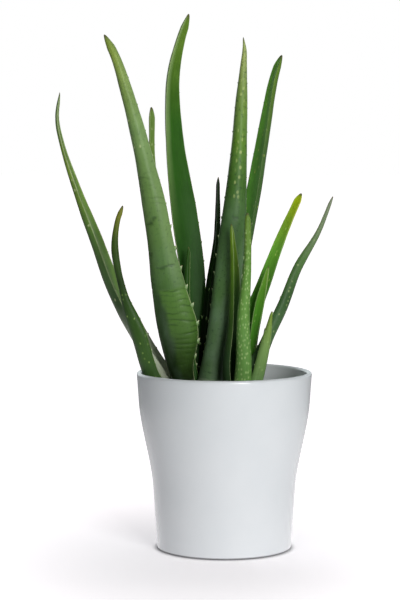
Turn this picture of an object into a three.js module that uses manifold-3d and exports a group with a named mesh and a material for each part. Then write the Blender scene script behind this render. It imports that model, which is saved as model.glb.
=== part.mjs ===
// A young aloe vera with one offset beside it, growing in a thin plastic nursery pot that stands
// inside a glazed ceramic cover pot. Fifteen fleshy leaves rise from two short stems.
//
// Units are millimetres. +Z is up, +X runs to the right and -Y towards the viewer. The origin is
// the centre of the cover pot's foot, on the surface that it stands on.
import * as THREE from 'three';
import { mergeVertices } from 'three/addons/utils/BufferGeometryUtils.js';
import Module from 'manifold-3d';

const wasm = await Module();
wasm.setup();

// ---- Driving dimensions ------------------------------------------------------------------------

const GAP = 0.3;              // running gap that every piece keeps to its neighbours

const COVER = {
  height: 139,
  footRadius: 52.4,           // where the wall meets the foot
  taper: 0.07,                // how far the wall leans out for each millimetre of height
  swell: 6.5,                 // extra radius that the soft shoulder adds
  swellFrom: 48,              // the shoulder starts and ends at these heights
  swellTo: 116,
  wall: 4,
  floor: 6,
  footRound: 1.6,             // rounded edge at the foot
  facets: 48,
};

const NURSERY = {
  height: 105,
  footRadius: 44,
  topRadius: 57.4,
  wall: 1.3,
  rimReach: 2.4,              // the rolled rim stands out this far and hangs this low
  rimDrop: 5,
  holes: 6,
  holeRadius: 4.5,
  holeCircle: 33,
  facets: 44,
};

const SOIL_BELOW_RIM = 8;     // the potting mix stops this far under the nursery pot's rim
const SOIL_RELIEF = 1.1;      // height of the soil's humps and hollows

// Each plant has one short stem, sunk in the soil. Its leaves grow round the top of it.
const STEMS = {
  main: { at: [-17, 9], radius: 8, above: 14, below: 46 },
  offset: { at: [13, -17], radius: 6, above: 11, below: 38 },
};

const NURSERY_FLOOR = COVER.floor + GAP;
const SOIL_TOP = NURSERY_FLOOR + NURSERY.height - SOIL_BELOW_RIM;

// The leaves, from the innermost to the outermost, because an outer leaf's base wraps the inner ones.
//   midrib   points that the middle of the leaf passes through, from its base to its tip
//   widths   distance between the margins, at even steps from the base to the tip
//   thick    thickness near the base
//   curl     half angle, in degrees, through which the blade is rolled at its base and its tip
//   faces    compass direction of the hollow face at base and tip, in degrees from +X towards +Y
//   teeth    distance between marginal teeth half way along
const LEAVES = [
  {
    name: 'leaf_heart',
    midrib: [[-13, 11, 114], [-13, 12, 148], [-11, 13, 196], [-5, 13, 243], [-4, 14, 291]],
    widths: [11, 11, 8, 6, 2],
    thick: 5, curl: [60, 20], faces: [200, 200], teeth: 16,
  },
  {
    name: 'leaf_young',
    midrib: [[-22, 9, 113], [-29, 12, 146], [-31, 14, 191], [-28, 15, 236]],
    widths: [11, 12, 7.5, 2],
    thick: 4, curl: [60, 15], faces: [20, 60], teeth: 17,
  },
  {
    name: 'leaf_front',
    midrib: [
      [-14, -2, 108], [-8, -3, 151], [1, -5, 201], [7, -4, 250],
      [11, -2, 300], [14, 0, 350], [16, 1, 379], [14, 1, 399],
    ],
    widths: [19, 15, 20.5, 18.5, 13.5, 9, 2.5],
    thick: 9, curl: [55, 14], faces: [95, 85], teeth: 17,
  },
  {
    name: 'leaf_back_left',
    midrib: [
      [-20, 20, 108], [-23, 21, 154], [-25, 29, 207], [-33, 35, 261],
      [-40, 41, 314], [-41, 45, 368], [-35, 46, 399], [-27, 46, 420],
    ],
    widths: [19, 13, 20.5, 20, 14.5, 9.5, 3],
    thick: 9, curl: [55, 18], faces: [-85, -50], teeth: 18,
  },
  {
    name: 'leaf_back_right',
    midrib: [
      [-8, 17, 108], [2, 21, 158], [13, 27, 215], [24, 33, 273],
      [35, 37, 330], [41, 38, 367], [47, 38, 387],
    ],
    widths: [17, 11, 16.5, 15.5, 10, 3.5],
    thick: 8, curl: [60, 20], faces: [-130, -150], teeth: 19,
  },
  {
    name: 'leaf_front_left',
    midrib: [
      [-26, 1, 107], [-33, -7, 139], [-41, -15, 176], [-46, -21, 214], [-51, -26, 251],
      [-59, -28, 289], [-66, -30, 327], [-77, -30, 364], [-83, -30, 381], [-92, -28, 399],
    ],
    widths: [15, 17, 36, 28, 22.5, 17.5, 14.5, 10, 7.5, 4],
    thick: 10, curl: [60, 14], faces: [45, 75], teeth: 16,
  },
  {
    name: 'leaf_rear',
    midrib: [
      [-27, 20, 107], [-31, 26, 149], [-40, 34, 197], [-50, 41, 246], [-57, 45, 296], [-57, 46, 346],
    ],
    widths: [16, 12.5, 12.5, 10.5, 6, 4],
    thick: 6, curl: [60, 20], faces: [-60, -60], teeth: 18,
  },
  {
    name: 'leaf_far_left',
    midrib: [
      [-30, 11, 107], [-50, 11, 133], [-70, 14, 168], [-87, 16, 204], [-101, 18, 241],
      [-116, 18, 279], [-128, 15, 317], [-131, 13, 337], [-128, 12, 357],
    ],
    widths: [18, 15.5, 19, 14.5, 8, 6, 1],
    thick: 7, curl: [60, 35], faces: [-10, -25], teeth: 18,
  },
  {
    name: 'leaf_left',
    midrib: [
      [-33, 4, 107], [-43, 2, 116], [-54, 0, 132], [-71, -7, 170], [-78, -11, 197],
      [-85, -14, 235], [-83, -15, 257], [-78, -15, 269],
    ],
    widths: [19, 18.5, 13, 7.5, 6, 2],
    thick: 7, curl: [60, 35], faces: [15, 40], teeth: 15,
  },

  {
    name: 'offset_leaf_heart',
    midrib: [[14, -15, 111], [20, -14, 144], [26, -15, 183], [34, -14, 222]],
    widths: [9, 8, 6.5, 7, 2],
    thick: 4.5, curl: [60, 25], faces: [-120, -110], teeth: 15,
  },
  {
    name: 'offset_leaf_channel',
    midrib: [[5, -16, 107], [1, -15, 142], [5, -17, 179], [6, -18, 217], [5, -18, 255]],
    widths: [13, 16, 13.5, 9, 1.5],
    thick: 5, curl: [65, 45], faces: [-20, -30], teeth: 15,
  },
  {
    name: 'offset_leaf_back',
    midrib: [[16, -9, 107], [21, -8, 140], [24, -4, 176], [33, -1, 211], [45, 3, 246], [61, 6, 278]],
    widths: [13, 7, 8, 10, 7, 3],
    thick: 5, curl: [60, 25], faces: [-110, -120], teeth: 16,
  },
  {
    name: 'offset_leaf_right',
    midrib: [
      [21, -16, 107], [24, -15, 135], [33, -13, 164], [47, -11, 191],
      [58, -10, 220], [74, -10, 248], [85, -10, 276],
    ],
    widths: [14, 16, 10, 10.5, 8.5, 6, 1],
    thick: 6, curl: [60, 30], faces: [180, 200], teeth: 17,
  },
  {
    name: 'offset_leaf_front',
    midrib: [[11, -26, 107], [14, -31, 145], [14, -33, 185], [17, -34, 225], [17, -34, 264]],
    widths: [14, 11.5, 9.5, 6, 4.5],
    thick: 6, curl: [60, 20], faces: [85, 80], teeth: 16,
  },
  {
    name: 'offset_leaf_low',
    midrib: [[20, -25, 107], [26, -28, 133], [32, -31, 161], [36, -34, 189]],
    widths: [12, 10, 8.5, 1],
    thick: 4.5, curl: [60, 40], faces: [135, 132], teeth: 12,
  },
];

const TOOTH = {
  length: 2.2,                // beyond the margin, for a tooth near the base
  root: 1.1,                  // radius at its root
  sunk: 1.4,                  // the root lies this deep in the blade
  lean: 0.45,                 // how far it hooks towards the tip
  flat: 0.6,                  // its thickness over its width
  first: 0.15,                // share of the leaf's length at the first and past the last tooth
  last: 0.9,
};
const RINGS = 13;             // cross-sections along a leaf
const HOLLOW_STEPS = 4;       // facets across a leaf's hollow face
const BACK_STEPS = 6;         // facets round its back

// ---- Materials ---------------------------------------------------------------------------------

const finish = (color, roughness) => new THREE.MeshStandardMaterial({ color, roughness, metalness: 0 });

const GLAZE = finish(0xe4e8ea, 0.18);
const NURSERY_PLASTIC = finish(0x2b2a29, 0.55);
const POTTING_MIX = finish(0x3a2a1e, 0.95);
const STEM_SKIN = finish(0x8d8b5c, 0.7);
const MAIN_LEAF = finish(0x4c7a3c, 0.42);
const OFFSET_LEAF = finish(0x5a9136, 0.4);

// ---- Solids ------------------------------------------------------------------------------------

// A closed three.js geometry as a manifold-3d solid, and back.
function toSolid(geometry) {
  const bare = geometry.clone();
  bare.deleteAttribute('normal');
  bare.deleteAttribute('uv');
  const merged = mergeVertices(bare, 1e-4);
  return new wasm.Manifold(new wasm.Mesh({
    numProp: 3,
    vertProperties: merged.getAttribute('position').array,
    triVerts: new Uint32Array(merged.getIndex().array),
  }));
}

function toGeometry(solid) {
  const mesh = solid.getMesh();
  return new THREE.BufferGeometry()
    .setAttribute('position', new THREE.BufferAttribute(mesh.vertProperties, mesh.numProp))
    .setIndex(new THREE.BufferAttribute(mesh.triVerts, 1));
}

function named(name, solid, material) {
  const mesh = new THREE.Mesh(toGeometry(solid), material);
  mesh.name = name;
  return mesh;
}

// Turns a profile of [radius, height] points round the Z axis. Outlines run anticlockwise.
function turned(profile, facets) {
  const points = profile.map(([radius, height]) => new THREE.Vector2(radius, height));
  return new THREE.LatheGeometry(points, facets).rotateX(Math.PI / 2);
}

const between = (a, b, t) => a + (b - a) * t;

function smooth(from, to, value) {
  const t = THREE.MathUtils.clamp((value - from) / (to - from), 0, 1);
  return t * t * (3 - 2 * t);
}

// ---- Cover pot ---------------------------------------------------------------------------------

function coverRadius(height) {
  return COVER.footRadius + COVER.taper * height
    + COVER.swell * smooth(COVER.swellFrom, COVER.swellTo, height);
}

function coverPot() {
  const { height, wall, floor, footRound, facets } = COVER;
  const lip = wall / 2;
  const steps = 7;
  const heightOf = (i, low, high) => between(low, high, i / steps);
  const outside = [];
  const inside = [];
  for (let i = 0; i <= steps; i++) {
    const z = heightOf(i, footRound, height - lip);
    outside.push([coverRadius(z), z]);
    const w = heightOf(steps - i, floor + footRound, height - lip);
    inside.push([coverRadius(w) - wall, w]);
  }
  const lipCentre = coverRadius(height - lip) - lip;
  const rim = [45, 90, 135].map((degrees) => {
    const a = THREE.MathUtils.degToRad(degrees);
    return [lipCentre + lip * Math.cos(a), height - lip + lip * Math.sin(a)];
  });
  return toSolid(turned([
    [0, 0],
    [COVER.footRadius - footRound, 0],
    ...outside,
    ...rim,
    ...inside,
    [coverRadius(floor) - wall - footRound, floor],
    [0, floor],
  ], facets));
}

// ---- Nursery pot -------------------------------------------------------------------------------

// Outer radius of its wall at a height above its own floor.
const nurseryRadius = (height) => between(NURSERY.footRadius, NURSERY.topRadius, height / NURSERY.height);

function nurseryPot() {
  const { height, wall, rimReach, rimDrop, holes, holeRadius, holeCircle, facets } = NURSERY;
  const shell = toSolid(turned([
    [0, 0],
    [nurseryRadius(0), 0],
    [nurseryRadius(height - rimDrop), height - rimDrop],
    [nurseryRadius(height) + rimReach, height - rimDrop],
    [nurseryRadius(height) + rimReach, height],
    [nurseryRadius(height) - wall, height],
    [nurseryRadius(wall) - wall, wall],
    [0, wall],
  ], facets));
  const drains = [];
  for (let i = 0; i < holes; i++) {
    const angle = (2 * Math.PI * i) / holes;
    const drill = new THREE.CylinderGeometry(holeRadius, holeRadius, 4 * wall, 12)
      .rotateX(Math.PI / 2)
      .translate(holeCircle * Math.cos(angle), holeCircle * Math.sin(angle), 0);
    drains.push(toSolid(drill));
  }
  return shell.subtract(wasm.Manifold.union(drains)).translate([0, 0, NURSERY_FLOOR]);
}

// ---- Stems and soil ----------------------------------------------------------------------------

// A stem is a short round peg with a domed top. With grow it is that much larger all round.
function stem({ at, radius, above, below }, grow = 0) {
  const r = radius + grow;
  const top = SOIL_TOP + above + grow;
  const bottom = SOIL_TOP - below - grow;
  return toSolid(turned([
    [0, bottom],
    [0.7 * r, bottom],
    [r, bottom + 0.5 * below],
    [r, top - 0.6 * r],
    [0.7 * r, top - 0.2 * r],
    [0, top],
  ], 16)).translate([at[0], at[1], 0]);
}

// Height of the soil's surface over its mean level.
function soilRelief(x, y) {
  const humps = Math.sin(x / 7.1 + 1.3) * Math.cos(y / 8.3);
  const ridges = Math.sin((x + 2 * y) / 9.7);
  return SOIL_RELIEF * (humps + 0.6 * ridges);
}

function soil() {
  const bottom = NURSERY.wall + GAP;
  const top = SOIL_TOP - NURSERY_FLOOR;
  const innerRadius = (height) => nurseryRadius(height) - NURSERY.wall - GAP;
  const circles = 7;
  const surface = [];
  for (let i = 1; i <= circles; i++) {
    surface.push([innerRadius(top) * (1 - i / circles), top]);
  }
  const body = turned([[0, bottom], [innerRadius(bottom), bottom], [innerRadius(top), top], ...surface], 36);
  const position = body.getAttribute('position');
  for (let i = 0; i < position.count; i++) {
    const [x, y, z] = [position.getX(i), position.getY(i), position.getZ(i)];
    const inwards = Math.hypot(x, y) < innerRadius(top) - 1;
    if (inwards && z > top - 1) {
      position.setZ(i, z + soilRelief(x, y));
    }
  }
  const holes = Object.values(STEMS).map((each) => stem(each, GAP));
  return toSolid(body)
    .translate([0, 0, NURSERY_FLOOR])
    .subtract(wasm.Manifold.union(holes));
}

// ---- Leaves ------------------------------------------------------------------------------------

const UP = new THREE.Vector3(0, 0, 1);

function towards(degrees) {
  return new THREE.Vector3(1, 0, 0).applyAxisAngle(UP, THREE.MathUtils.degToRad(degrees));
}

// The size and frame of a leaf's cross-section, a share of the way along it.
function stationOf(leaf, curve, share) {
  const widths = new THREE.SplineCurve(leaf.widths.map((width, i) => new THREE.Vector2(i, width)));
  const width = widths.getPoint(share).y;
  const along = curve.getTangentAt(share);
  const hollow = towards(between(leaf.faces[0], leaf.faces[1], share));
  hollow.addScaledVector(along, -hollow.dot(along)).normalize();
  return {
    at: curve.getPointAt(share),
    along,
    hollow,
    across: new THREE.Vector3().crossVectors(along, hollow),
    half: width / 2,
    thick: Math.min(leaf.thick * (1 - 0.35 * share), 0.45 * width + 0.9),
    roll: THREE.MathUtils.degToRad(between(leaf.curl[0], leaf.curl[1], smooth(0, 0.6, share))),
  };
}

// A point of the section: side runs from -1 to 1 between the margins, and depth from 0 on the hollow
// face to 1 on the rounded back. The middle of the blade's thickness lies on the midrib.
function sectionPoint(station, side, depth, grow = 0) {
  const { half, roll, thick } = station;
  const turn = roll * side;
  const rollRadius = (half + grow) / Math.sin(roll);
  const fullness = Math.sqrt(1 - side * side);
  const out = depth * (thick + 2 * grow) * fullness - grow;
  const sideways = (rollRadius + out) * Math.sin(turn);
  const inwards = rollRadius - (rollRadius + out) * Math.cos(turn) + thick / 2;
  return station.at.clone()
    .addScaledVector(station.across, sideways)
    .addScaledVector(station.hollow, inwards);
}

function sectionRing(station, grow) {
  const ring = [];
  for (let i = 0; i < HOLLOW_STEPS; i++) {
    ring.push(sectionPoint(station, between(-1, 1, i / HOLLOW_STEPS), 0, grow));
  }
  for (let i = 0; i < BACK_STEPS; i++) {
    ring.push(sectionPoint(station, between(1, -1, i / BACK_STEPS), 1, grow));
  }
  return ring;
}

// Skins a row of closed rings, with a flat end at the base and a point at the tip.
function loft(rings, tip) {
  const size = rings[0].length;
  const base = new THREE.Vector3();
  rings[0].forEach((point) => base.addScaledVector(point, 1 / size));
  const points = [...rings.flat(), base, tip];
  const baseIndex = points.length - 2;
  const tipIndex = points.length - 1;
  const last = (rings.length - 1) * size;
  const faces = [];
  for (let j = 0; j < size; j++) {
    const next = (j + 1) % size;
    faces.push(baseIndex, next, j, tipIndex, last + j, last + next);
    for (let i = 0; i < rings.length - 1; i++) {
      const [a, b] = [i * size + j, i * size + next];
      faces.push(a, b, a + size, b, b + size, a + size);
    }
  }
  return new THREE.BufferGeometry().setFromPoints(points).setIndex(faces);
}

function midribOf(leaf) {
  return new THREE.CatmullRomCurve3(leaf.midrib.map((point) => new THREE.Vector3(...point)));
}

function blade(leaf, grow = 0) {
  const curve = midribOf(leaf);
  const rings = [];
  for (let i = 0; i < RINGS; i++) {
    const share = 1 - (1 - i / RINGS) ** 1.2;
    rings.push(sectionRing(stationOf(leaf, curve, share), grow));
  }
  return loft(rings, curve.getPointAt(1));
}

// Teeth stand out along both margins, closer together at the base, and hook a little to the tip.
function teeth(leaf, grow = 0) {
  const curve = midribOf(leaf);
  const length = curve.getLength();
  const made = [];
  let share = TOOTH.first;
  while (share < TOOTH.last) {
    const station = stationOf(leaf, curve, share);
    const size = between(1, 0.55, share);
    const height = TOOTH.sunk + TOOTH.length * size;
    for (const side of [-1, 1]) {
      const margin = sectionPoint(station, side, 0);
      const out = margin.clone().sub(sectionPoint(station, 0.9 * side, 0)).normalize();
      const point = out.addScaledVector(station.along, TOOTH.lean).normalize();
      const flat = new THREE.Vector3().crossVectors(point, station.along).normalize();
      const fore = new THREE.Vector3().crossVectors(point, flat);
      const frame = new THREE.Matrix4().makeBasis(fore, point, flat).setPosition(margin);
      const cone = new THREE.ConeGeometry(TOOTH.root * size + grow, height + 2 * grow, 3)
        .translate(0, height / 2 - TOOTH.sunk, 0)
        .scale(1, 1, TOOTH.flat)
        .applyMatrix4(frame);
      made.push(toSolid(cone));
    }
    share += between(0.6, 1.25, share) * leaf.teeth / length;
  }
  return made;
}

const largest = (solid) => solid.decompose().sort((a, b) => b.volume() - a.volume())[0];

// Each leaf is cut clear of the stems and of the leaves inside it.
function leafSolids() {
  const taken = Object.values(STEMS).map((each) => stem(each, GAP));
  return LEAVES.map((leaf) => {
    const whole = wasm.Manifold.union([toSolid(blade(leaf)), ...teeth(leaf)]);
    const cut = largest(whole.subtract(wasm.Manifold.union(taken)));
    taken.push(toSolid(blade(leaf, GAP)), ...teeth(leaf, GAP));
    return [leaf.name, cut];
  });
}

// ---- Assembly ----------------------------------------------------------------------------------

const aloe = new THREE.Group();
aloe.add(
  named('cover_pot', coverPot(), GLAZE),
  named('nursery_pot', nurseryPot(), NURSERY_PLASTIC),
  named('soil', soil(), POTTING_MIX),
  named('main_stem', stem(STEMS.main), STEM_SKIN),
  named('offset_stem', stem(STEMS.offset), STEM_SKIN),
);
for (const [name, solid] of leafSolids()) {
  aloe.add(named(name, solid, name.startsWith('offset') ? OFFSET_LEAF : MAIN_LEAF));
}

export default aloe;
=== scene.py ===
import math
from functools import partial

import bpy
import numpy as np
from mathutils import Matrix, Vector


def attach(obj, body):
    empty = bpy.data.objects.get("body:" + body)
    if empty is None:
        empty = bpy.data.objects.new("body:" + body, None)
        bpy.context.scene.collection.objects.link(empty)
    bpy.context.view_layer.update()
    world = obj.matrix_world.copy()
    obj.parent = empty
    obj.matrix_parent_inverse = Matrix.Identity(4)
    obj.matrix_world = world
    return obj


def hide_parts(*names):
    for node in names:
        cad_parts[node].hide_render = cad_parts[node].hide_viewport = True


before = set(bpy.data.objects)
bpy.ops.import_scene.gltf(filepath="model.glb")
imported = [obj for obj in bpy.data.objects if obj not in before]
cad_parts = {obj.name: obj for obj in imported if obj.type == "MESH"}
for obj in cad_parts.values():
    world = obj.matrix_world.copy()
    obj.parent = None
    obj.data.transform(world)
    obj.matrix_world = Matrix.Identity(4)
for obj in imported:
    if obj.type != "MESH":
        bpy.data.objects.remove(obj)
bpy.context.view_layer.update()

MM = 0.001

# ---- Cover pot ----
# A slip-cast stoneware cover pot with a soft shoulder and a 4 mm wall. It is dipped in a cool
# white glaze inside and out, which rounds the lip, and the foot ring is wiped bare to stand on.

POT_HEIGHT = 139
POT_FOOT_RADIUS = 52.4
POT_TAPER = 0.07
POT_SWELL = 6.5
POT_SHOULDER = (48, 116)
POT_WALL = 4
POT_FLOOR = 6
POT_CORNER = 6
POT_FOOT_ROUND = 1.6
POT_FOOT_RECESS = 0.9
POT_FOOT_RING = 7
POT_FACETS = 144
SEAM_WELD = 0.01

NODE_FAMILIES = ("ShaderNode", "GeometryNode", "FunctionNode", "Node")
NODE_MODES = ("operation", "interpolation_type", "data_type")
SHORT_KINDS = {
    "+": "Math.ADD", "-": "Math.SUBTRACT", "*": "Math.MULTIPLY", "/": "Math.DIVIDE",
    "Smooth": "MapRange.SMOOTHSTEP", "Field": "InputNamedAttribute.FLOAT_VECTOR",
}


def add(tree, kind, *values, **named):
    """Adds a node, and returns its first output. Math.ADD is a Math node set to ADD. Values go to
    the open sockets in order: a MapRange takes what it maps, from where, and to where. A name with
    a capital is a socket's, and any other is a setting's."""
    kind, _, mode = SHORT_KINDS.get(kind, kind).partition(".")
    family = next(name for name in NODE_FAMILIES if hasattr(bpy.types, name + kind))
    made = tree.nodes.new(family + kind)
    if mode:
        named[next(setting for setting in NODE_MODES if hasattr(made, setting))] = mode
    for setting, value in named.items():
        if setting[0].islower():
            setattr(made, setting, value)
    wanted = list(zip([socket for socket in made.inputs if socket.enabled], values))
    wanted += [(made.inputs[label.replace("_", " ")], value)
               for label, value in named.items() if label[0].isupper()]
    for socket, value in wanted:
        for part in reversed(value) if isinstance(value, list) else [value]:
            if isinstance(part, bpy.types.NodeSocket):
                tree.links.new(part, socket)
            elif part is not None:
                socket.default_value = part
    return next((socket for socket in made.outputs if socket.enabled), None)


def geometry_tree(title, recipe, **named_inputs):
    """A Geometry Nodes tree that takes a geometry and the named inputs, and gives what the recipe
    makes of them."""
    tree = bpy.data.node_groups.new(title, "GeometryNodeTree")
    for way in ("OUTPUT", "INPUT"):
        tree.interface.new_socket("Geometry", in_out=way, socket_type="NodeSocketGeometry")
    for label, kind in named_inputs.items():
        tree.interface.new_socket(label, in_out="INPUT", socket_type="NodeSocket" + kind)
    given = tree.nodes.new("NodeGroupInput").outputs
    add(tree, "GroupOutput", recipe(partial(add, tree), {socket.name: socket for socket in given}))
    return tree


def stand(title, data):
    """A new object in the scene."""
    made = bpy.data.objects.new(title, data)
    bpy.context.scene.collection.objects.link(made)
    return made


def grow(piece_name, mesh, tree, **values):
    """Runs a tree on a mesh, and keeps what it makes as the plain mesh of a new object."""
    piece = stand(piece_name, mesh)
    modifier = piece.modifiers.new(piece_name, "NODES")
    modifier.node_group = tree
    for socket in tree.interface.items_tree:
        if socket.in_out == "INPUT" and socket.name in values:
            modifier[socket.identifier] = values[socket.name]
    graph = bpy.context.evaluated_depsgraph_get()
    made = bpy.data.meshes.new_from_object(
        piece.evaluated_get(graph), preserve_all_data_layers=True, depsgraph=graph
    )
    piece.modifiers.clear()
    piece.data = made
    made.name = piece_name
    for number in reversed(range(len(made.materials))):
        if made.materials[number] is None:
            made.materials.pop(index=number)
    return piece


def install(piece, slot, *nodes):
    """The piece stands for CAD nodes, which it hides, and rides on the part. Its slot is not used."""
    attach(piece, "root")
    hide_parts(*nodes)


def linear(code):
    """A colour given as an sRGB hex value, in linear light, with full alpha."""
    parts = [int(code[i : i + 2], 16) / 255 for i in (1, 3, 5)]
    light = [c / 12.92 if c <= 0.04045 else ((c + 0.055) / 1.055) ** 2.4 for c in parts]
    return (*light, 1.0)


def finish(title, recipe, *details):
    """A material with one shader, which takes the inputs that the recipe gives."""
    material = bpy.data.materials.new(title)
    material.use_nodes = True
    tree = material.node_tree
    tree.nodes.clear()
    shader = add(tree, "BsdfPrincipled", **recipe(partial(add, tree), *details))
    add(tree, "OutputMaterial", shader)
    return material


def smooth_step(low, high, value):
    share = np.clip((value - low) / (high - low), 0, 1)
    return share * share * (3 - 2 * share)


def pot_radius(height):
    swell = POT_SWELL * smooth_step(*POT_SHOULDER, height)
    return POT_FOOT_RADIUS + POT_TAPER * height + swell


def arc(centre_r, centre_z, radius, start, end, steps):
    """Points of an arc in the outline's plane, between two angles in degrees."""
    turns = np.radians(np.linspace(start, end, steps + 1))
    return [(centre_r + radius * math.cos(a), centre_z + radius * math.sin(a)) for a in turns]


def turning(node, given):
    """Sweeps an outline round an axis, and welds its seam and the points on the axis."""
    outline = given["Geometry"]
    rows = node("AttributeDomainSize", outline, component="MESH")
    columns = node("+", given["Facets"], 1.0)
    grid = node("MeshGrid", 1.0, 1.0, rows, columns)
    row = node("Math.FLOOR", node("/", node("InputIndex"), columns))
    place = node("InputPosition")
    point = node("SampleIndex.FLOAT_VECTOR", outline, place, row)
    step = node("SeparateXYZ", place).node.outputs["Y"]
    angle = node("*", step, -math.tau)
    turned = node("VectorRotate", point, None, angle, rotation_type="Z_AXIS")
    turned = node("VectorMath.ADD", turned, given["Axis"])
    skin = node("SetPosition", grid, None, turned)
    skin = node("MergeByDistance", skin, None, SEAM_WELD * MM)
    skin = node("RealizeInstances", node("SetShadeSmooth", skin, None, True))
    return node("SetMaterial", skin, None, given["Finish"])


TURNED = geometry_tree("turn an outline", turning, Facets="Int", Axis="Vector", Finish="Material")


def turn(piece_name, points, facets, coat, axis=(0, 0)):
    """A piece turned round an upright axis, from an outline of radius and height in mm."""
    outline = bpy.data.meshes.new(piece_name + "_outline")
    edges = [(i, i + 1) for i in range(len(points) - 1)]
    outline.from_pydata([(r * MM, 0, z * MM) for r, z in points], edges, [])
    axis = (axis[0] * MM, axis[1] * MM, 0)
    return grow(piece_name, outline, TURNED, Facets=facets, Axis=axis, Finish=coat)


def white_glaze(node):
    """Glossy white stoneware glaze: a clear skin over a cool white body, with a soft orange peel.
    The wiped foot ring is bare and matt, and its dark grey is partly painted shade where it meets the
    floor."""
    place = node("TexCoord").node.outputs["Object"]
    clouds = node("TexNoise", Vector=place, Scale=26.0, Detail=3.0)
    colour = node("Mix.RGBA", clouds, linear("#d9dee1"), linear("#e5e8ea"))
    height = node("SeparateXYZ", place).node.outputs["Z"]
    # Below 1.9 mm the bare foot ring turns dark grey: bare clay, darkened with painted contact shade.
    bare_and_shaded = node("MapRange", height, 0.0019, 0.0009)
    colour = node("Mix.RGBA", bare_and_shaded, colour, linear("#77787a"))
    peel = node("TexNoise", Vector=place, Scale=420.0, Detail=2.0)
    waves = node("TexNoise", Vector=place, Scale=48.0, Detail=1.0)
    relief = node("Math.MULTIPLY_ADD", waves, 5.0, peel)
    bump = node("Bump", Height=relief, Strength=0.06, Distance=0.0002)
    gloss = node("MapRange", clouds, To_Min=0.16, To_Max=0.24)
    gloss = node("Mix.FLOAT", bare_and_shaded, gloss, 0.9)
    coat = node("MapRange", bare_and_shaded, To_Min=0.5, To_Max=0.0)
    return dict(Base_Color=colour, Roughness=gloss, IOR=1.5, Normal=bump,
                Coat_Weight=coat, Coat_Roughness=0.06)


def pot_outline():
    """From the middle of the underside, round the bare foot ring, up the wall, over the lip, and
    down the inside to the middle of the floor."""
    lip = POT_WALL / 2
    lip_height = POT_HEIGHT - lip
    corner_height = POT_FLOOR + POT_CORNER
    corner = pot_radius(corner_height) - POT_WALL - POT_CORNER
    ring = POT_FOOT_RADIUS - POT_FOOT_RING
    foot = pot_radius(POT_FOOT_ROUND) - POT_FOOT_ROUND
    return [
        (0, POT_FOOT_RECESS),
        (ring - 2, POT_FOOT_RECESS),
        (ring - 0.8, POT_FOOT_RECESS * 0.6),
        (ring, 0),
        (ring + 2, 0),
        *arc(foot, POT_FOOT_ROUND, POT_FOOT_ROUND, -90, 0, 5),
        *[(pot_radius(z), z) for z in np.linspace(POT_FOOT_ROUND, lip_height, 44)[1:]],
        *arc(pot_radius(lip_height) - lip, lip_height, lip, 15, 165, 9),
        *[(pot_radius(z) - POT_WALL, z) for z in np.linspace(lip_height, corner_height, 36)],
        *arc(corner, corner_height, POT_CORNER, -10, -90, 6),
        (corner * 0.5, POT_FLOOR),
        (0, POT_FLOOR),
    ]


GLAZE = finish("white_stoneware_glaze", white_glaze)
cover_pot = turn("glazed_cover_pot", pot_outline(), POT_FACETS, GLAZE)
install(cover_pot, "glaze", "cover_pot")

# ---- Nursery pot ----
# The thin black plastic pot that the plant was grown in, injection moulded from polypropylene with
# a flanged rim and six drain holes. It stands loose inside the cover pot.

NURSERY_FLOOR = 6.3
NURSERY_HEIGHT = 105
NURSERY_FOOT_RADIUS = 44
NURSERY_TOP_RADIUS = 57.4
NURSERY_WALL = 1.3
NURSERY_RIM_REACH = 2.4
NURSERY_RIM_DROP = 5
NURSERY_RIM_ROUND = 0.7
NURSERY_NECK_ROUND = 0.6
NURSERY_FOOT_ROUND = 1.2
NURSERY_FACETS = 96
DRAIN_HOLES = 6
DRAIN_RADIUS = 4.5
DRAIN_CIRCLE = 33
DRILL_LENGTH = 12
DRILL_FACETS = 20


def nursery_radius(height):
    share = height / NURSERY_HEIGHT
    return NURSERY_FOOT_RADIUS + (NURSERY_TOP_RADIUS - NURSERY_FOOT_RADIUS) * share


def nursery_outline():
    """From the middle of the underside, up the wall, round the flange, and down the inside."""
    wall, rim, neck, foot = NURSERY_WALL, NURSERY_RIM_ROUND, NURSERY_NECK_ROUND, NURSERY_FOOT_ROUND
    top = nursery_radius(NURSERY_HEIGHT)
    reach = top + NURSERY_RIM_REACH
    flange = NURSERY_HEIGHT - NURSERY_RIM_DROP
    points = [
        (0, 0),
        (nursery_radius(0) - 1, 0),
        *arc(nursery_radius(1) - foot, foot, foot, -70, 0, 3),
        *[(nursery_radius(z), z) for z in np.linspace(6, flange - neck, 9)],
        *arc(nursery_radius(flange) + neck, flange - neck, neck, 180, 90, 2),
        (reach - 0.3, flange),
        (reach, flange + 0.3),
        (reach, NURSERY_HEIGHT - rim),
        *arc(reach - rim, NURSERY_HEIGHT - rim, rim, 30, 90, 3),
        *arc(top - wall + rim, NURSERY_HEIGHT - rim, rim, 90, 170, 3),
        *[(nursery_radius(z) - wall, z) for z in np.linspace(flange, 4, 9)],
        (nursery_radius(0) - wall - 1.5, wall),
        (0, wall),
    ]
    return [(r, z + NURSERY_FLOOR) for r, z in points]


def drilling(node, given):
    """Drills a ring of round holes through the floor of a pot."""
    centres = node("MeshCircle", given["Holes"], given["Circle"])
    centres = node("SetPosition", centres, Offset=node("CombineXYZ", Z=given["Height"]))
    drill = node("MeshCylinder", Vertices=DRILL_FACETS, Radius=given["Radius"], Depth=DRILL_LENGTH * MM)
    drills = node("RealizeInstances", node("InstanceOnPoints", centres, Instance=drill))
    pot = node("MeshBoolean.DIFFERENCE", given["Geometry"], drills)
    return node("SetMaterial", node("RealizeInstances", pot), None, given["Finish"])


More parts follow.
